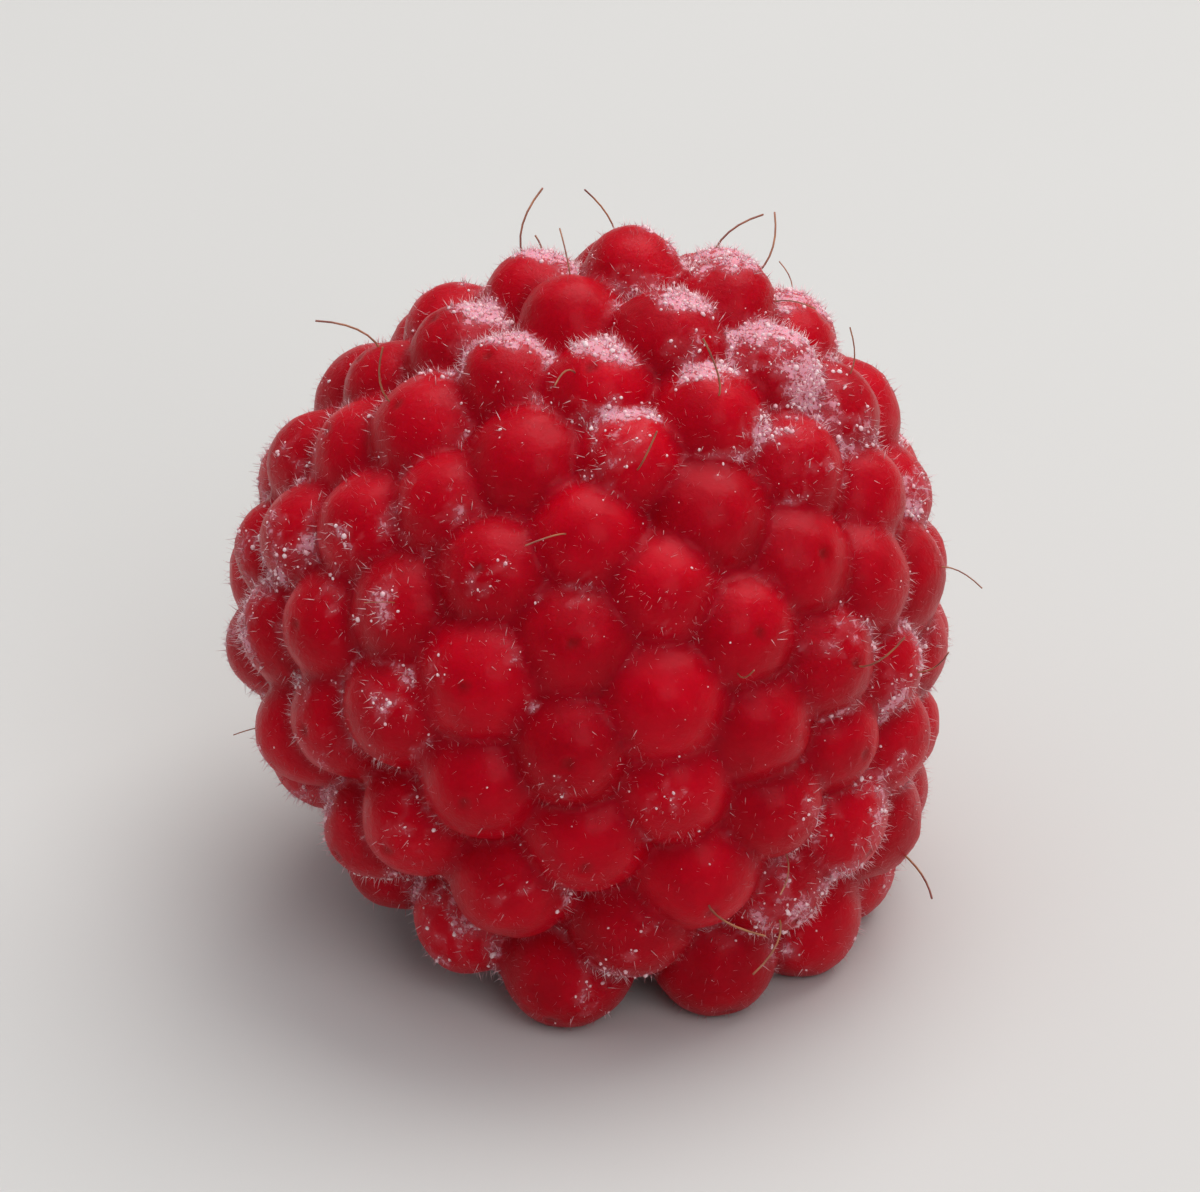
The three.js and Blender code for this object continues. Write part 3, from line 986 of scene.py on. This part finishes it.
def mark_skin(fruit, hollow, seats):
    """Keeps on the skin what its tree and its material need to know of each place."""
    places = places_of(fruit.data)
    which, reaches = nearest_drupelets(places, seats)
    outward = seats.outward[which]
    wall = BVHTree.FromPolygons(
        [vertex.co for vertex in hollow.data.vertices],
        [tuple(face.vertices) for face in hollow.data.polygons],
    )
    gap = np.array([wall.find_nearest(Vector(place))[3] for place in places])
    inside = 1 - smoothstep(gap, *INSIDE_EDGE)
    # This crease mask places frost and hairs in the creases, and the painted shade there too.
    crease = 1 - smoothstep(reaches[:, 1] - reaches[:, 0], 0.0, CREASE_REACH)
    crease = crease * (1 - inside)
    draws = np.random.default_rng(SEED)
    ripeness = draws.random(DRUPELETS)[which]
    exposure = exposure_of(places, normals_of(fruit.data), outward)
    exposure += draws.normal(0, FROST_UNEVENNESS, DRUPELETS)[which]
    exposure = np.minimum(exposure, MOST_EXPOSED)
    exposure = exposure + FROST_IN_CREASES * crease + FROST_INSIDE * inside
    offset = places - seats.centres[which]
    along = (offset * outward).sum(axis=1)
    beside = np.sqrt(np.maximum((offset**2).sum(axis=1) - along**2, 0))
    scarred = draws.random(DRUPELETS)[which] < SCAR_SHARE
    scar = (1 - smoothstep(beside, *SCAR_EDGE)) * (along > 0) * scarred
    put_attributes(fruit.data, "FLOAT", {
        "crease": crease, "inside": inside, "ripeness": ripeness, "exposure": exposure,
        "scar": scar,
    })


def grow_fruit(seats, lowest, skin):
    """The drupelets fused to one skin, with the hollow cut in it and the frost settled on it."""
    flesh = grow_flesh(lowest)
    hollow = grow_hollow(seats, lowest)
    fruit = mesh_object("berry_drupelets", seats.centres, [])
    put_attributes(fruit.data, "FLOAT_VECTOR", {"outward": seats.outward})
    put_attributes(fruit.data, "FLOAT", {"half_width": seats.half_width})
    values = {
        "Depth": DRUPELET_DEPTH, "Fineness": DRUPELET_FINENESS, "Flesh": flesh, "Skin": skin,
    }
    run_tree(fruit, drupelet_tree(), values)
    remesh(fruit, ROUGH_STEP)
    cut = fruit.modifiers.new("hollow", "BOOLEAN")
    cut.operation = "DIFFERENCE"
    cut.solver = "MANIFOLD"
    cut.object = hollow
    remesh(fruit, SKIN_STEP)
    finish_mesh(fruit)
    mark_skin(fruit, hollow, seats)
    values = {
        "Unevenness": DENT_DEPTH, "Dent Size": DENT_SIZE, "Scar Depth": SCAR_DEPTH,
        "Patch Size": PATCH_SIZE, "Gap Size": GAP_SIZE, "Skin": skin,
    }
    run_tree(fruit, skin_tree(), values)
    for tool in (flesh, hollow):
        bpy.data.objects.remove(tool)
    return fruit


def grow_on(fruit, name, tree, values):
    """A piece that a tree grows on the fruit's skin, kept out of what the berry stands on."""
    piece = fruit.copy()
    piece.data = fruit.data.copy()
    piece.name = name
    bpy.context.scene.collection.objects.link(piece)
    run_tree(piece, tree, values)
    keep_above_surface(piece.data, places_of(piece.data))
    return piece


def grow_styles(fruit, seats, dry):
    """Dry styles on some of the drupelets, each rooted where it meets the skin."""
    skin = BVHTree.FromObject(fruit, bpy.context.evaluated_depsgraph_get())
    draws = np.random.default_rng(STYLE_SEED)
    shortest, longer = STYLE_REACH
    places, ways, turns, reach = [], [], [], []
    for centre, way in zip(seats.centres, seats.outward):
        if draws.random() > STYLE_SHARE:
            continue
        way = Vector(way + draws.normal(0, STYLE_TILT, 3)).normalized()
        start = Vector(centre) + way * DRUPELET_DEPTH
        met = skin.ray_cast(start, -way, DRUPELET_DEPTH)[0]
        if met is None or met.z < LOWEST_STYLE:
            continue
        places.append(met - way * STYLE_ROOT)
        ways.append(way)
        turns.append(draws.random() * 2 * math.pi)
        reach.append(shortest + longer * draws.random())
    styles = mesh_object("styles", places, [])
    put_attributes(styles.data, "FLOAT_VECTOR", {"outward": ways})
    put_attributes(styles.data, "FLOAT", {"turn": turns, "reach": reach})
    values = {
        "Length": STYLE_LENGTH, "Thickness": STYLE_THICKNESS, "Bend": STYLE_BEND, "Dry": dry,
    }
    run_tree(styles, style_tree(), values)
    return styles


# ---- Floor, lights and camera ----

def lay_floor():
    """A pale sheet that curves up all round, far behind the berry on every side."""
    profile = []
    for share in np.linspace(0, 1, FLOOR_RINGS)[1:]:
        angle = share * math.pi / 2
        radius = FLOOR_BEND * math.sin(angle) + FLOOR_SPREAD * share
        profile.append((radius, FLOOR_RISE * (1 - math.cos(angle)) ** 2))
    places, faces = turned_rings(profile, FLOOR_SIDES)
    faces = [face[::-1] for face in faces]
    faces += [(len(places), side, (side + 1) % FLOOR_SIDES) for side in range(FLOOR_SIDES)]
    floor = mesh_object("studio_floor", [*places, (0, 0, 0)], faces)
    floor.data.polygons.foreach_set("use_smooth", [True] * len(faces))
    floor.data.materials.append(floor_material())


def set_lights():
    world = bpy.data.worlds.new("studio")
    world.use_nodes = True
    sky = world.node_tree.nodes["Background"]
    sky.inputs["Color"].default_value = SKY
    sky.inputs["Strength"].default_value = SKY_STRENGTH
    bpy.context.scene.world = world
    bpy.context.scene.view_settings.view_transform = "Standard"
    for name, place, size, power, colour in LIGHTS:
        data = bpy.data.lights.new(name, "AREA")
        data.size = size
        data.energy = power
        data.color = colour
        light = bpy.data.objects.new(name, data)
        bpy.context.scene.collection.objects.link(light)
        light.location = place
        aim = Vector(VIEW_MIDDLE) - Vector(place)
        light.rotation_euler = aim.to_track_quat("-Z", "Y").to_euler()


def set_camera():
    data = bpy.data.cameras.new("camera")
    data.lens = CAMERA_LENS
    data.clip_start = NEAREST_SEEN
    camera = bpy.data.objects.new("camera", data)
    bpy.context.scene.collection.objects.link(camera)
    back = Vector((0, -math.cos(CAMERA_RISE), math.sin(CAMERA_RISE)))
    camera.location = Vector(VIEW_MIDDLE) + back * CAMERA_DISTANCE
    camera.rotation_euler = (math.pi / 2 - CAMERA_RISE, 0, 0)
    bpy.context.scene.camera = camera


# ---- Everything in its place ----

def main():
    seats, lowest = grow_seats()
    shift = shift_to_node(seats)
    rime = rime_group()
    fruit = grow_fruit(seats, lowest, skin_material(rime))
    keep_above_surface(fruit.data, places_of(fruit.data) + shift)
    ice = frost_material()
    smallest, largest = GRAIN_SIZES
    values = {
        "Grains per Area": GRAINS_PER_AREA, "Smallest": smallest, "Largest": largest, "Ice": ice,
    }
    grains = grow_on(fruit, "frost_grains", frost_tree(), values)
    hairs = needle_tree()
    needles = grow_on(fruit, "frost_needles", hairs, {**FROST_NEEDLES, "Finish": ice})
    down = grow_on(fruit, "down", hairs, {**DOWN_HAIRS, "Finish": down_material()})
    seats = seats._replace(centres=seats.centres + shift)
    styles = grow_styles(fruit, seats, style_material(rime))
    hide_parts("raspberry")
    for piece in (fruit, grains, needles, down, styles):
        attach(piece, "root")
    lay_floor()
    set_lights()
    set_camera()


main()
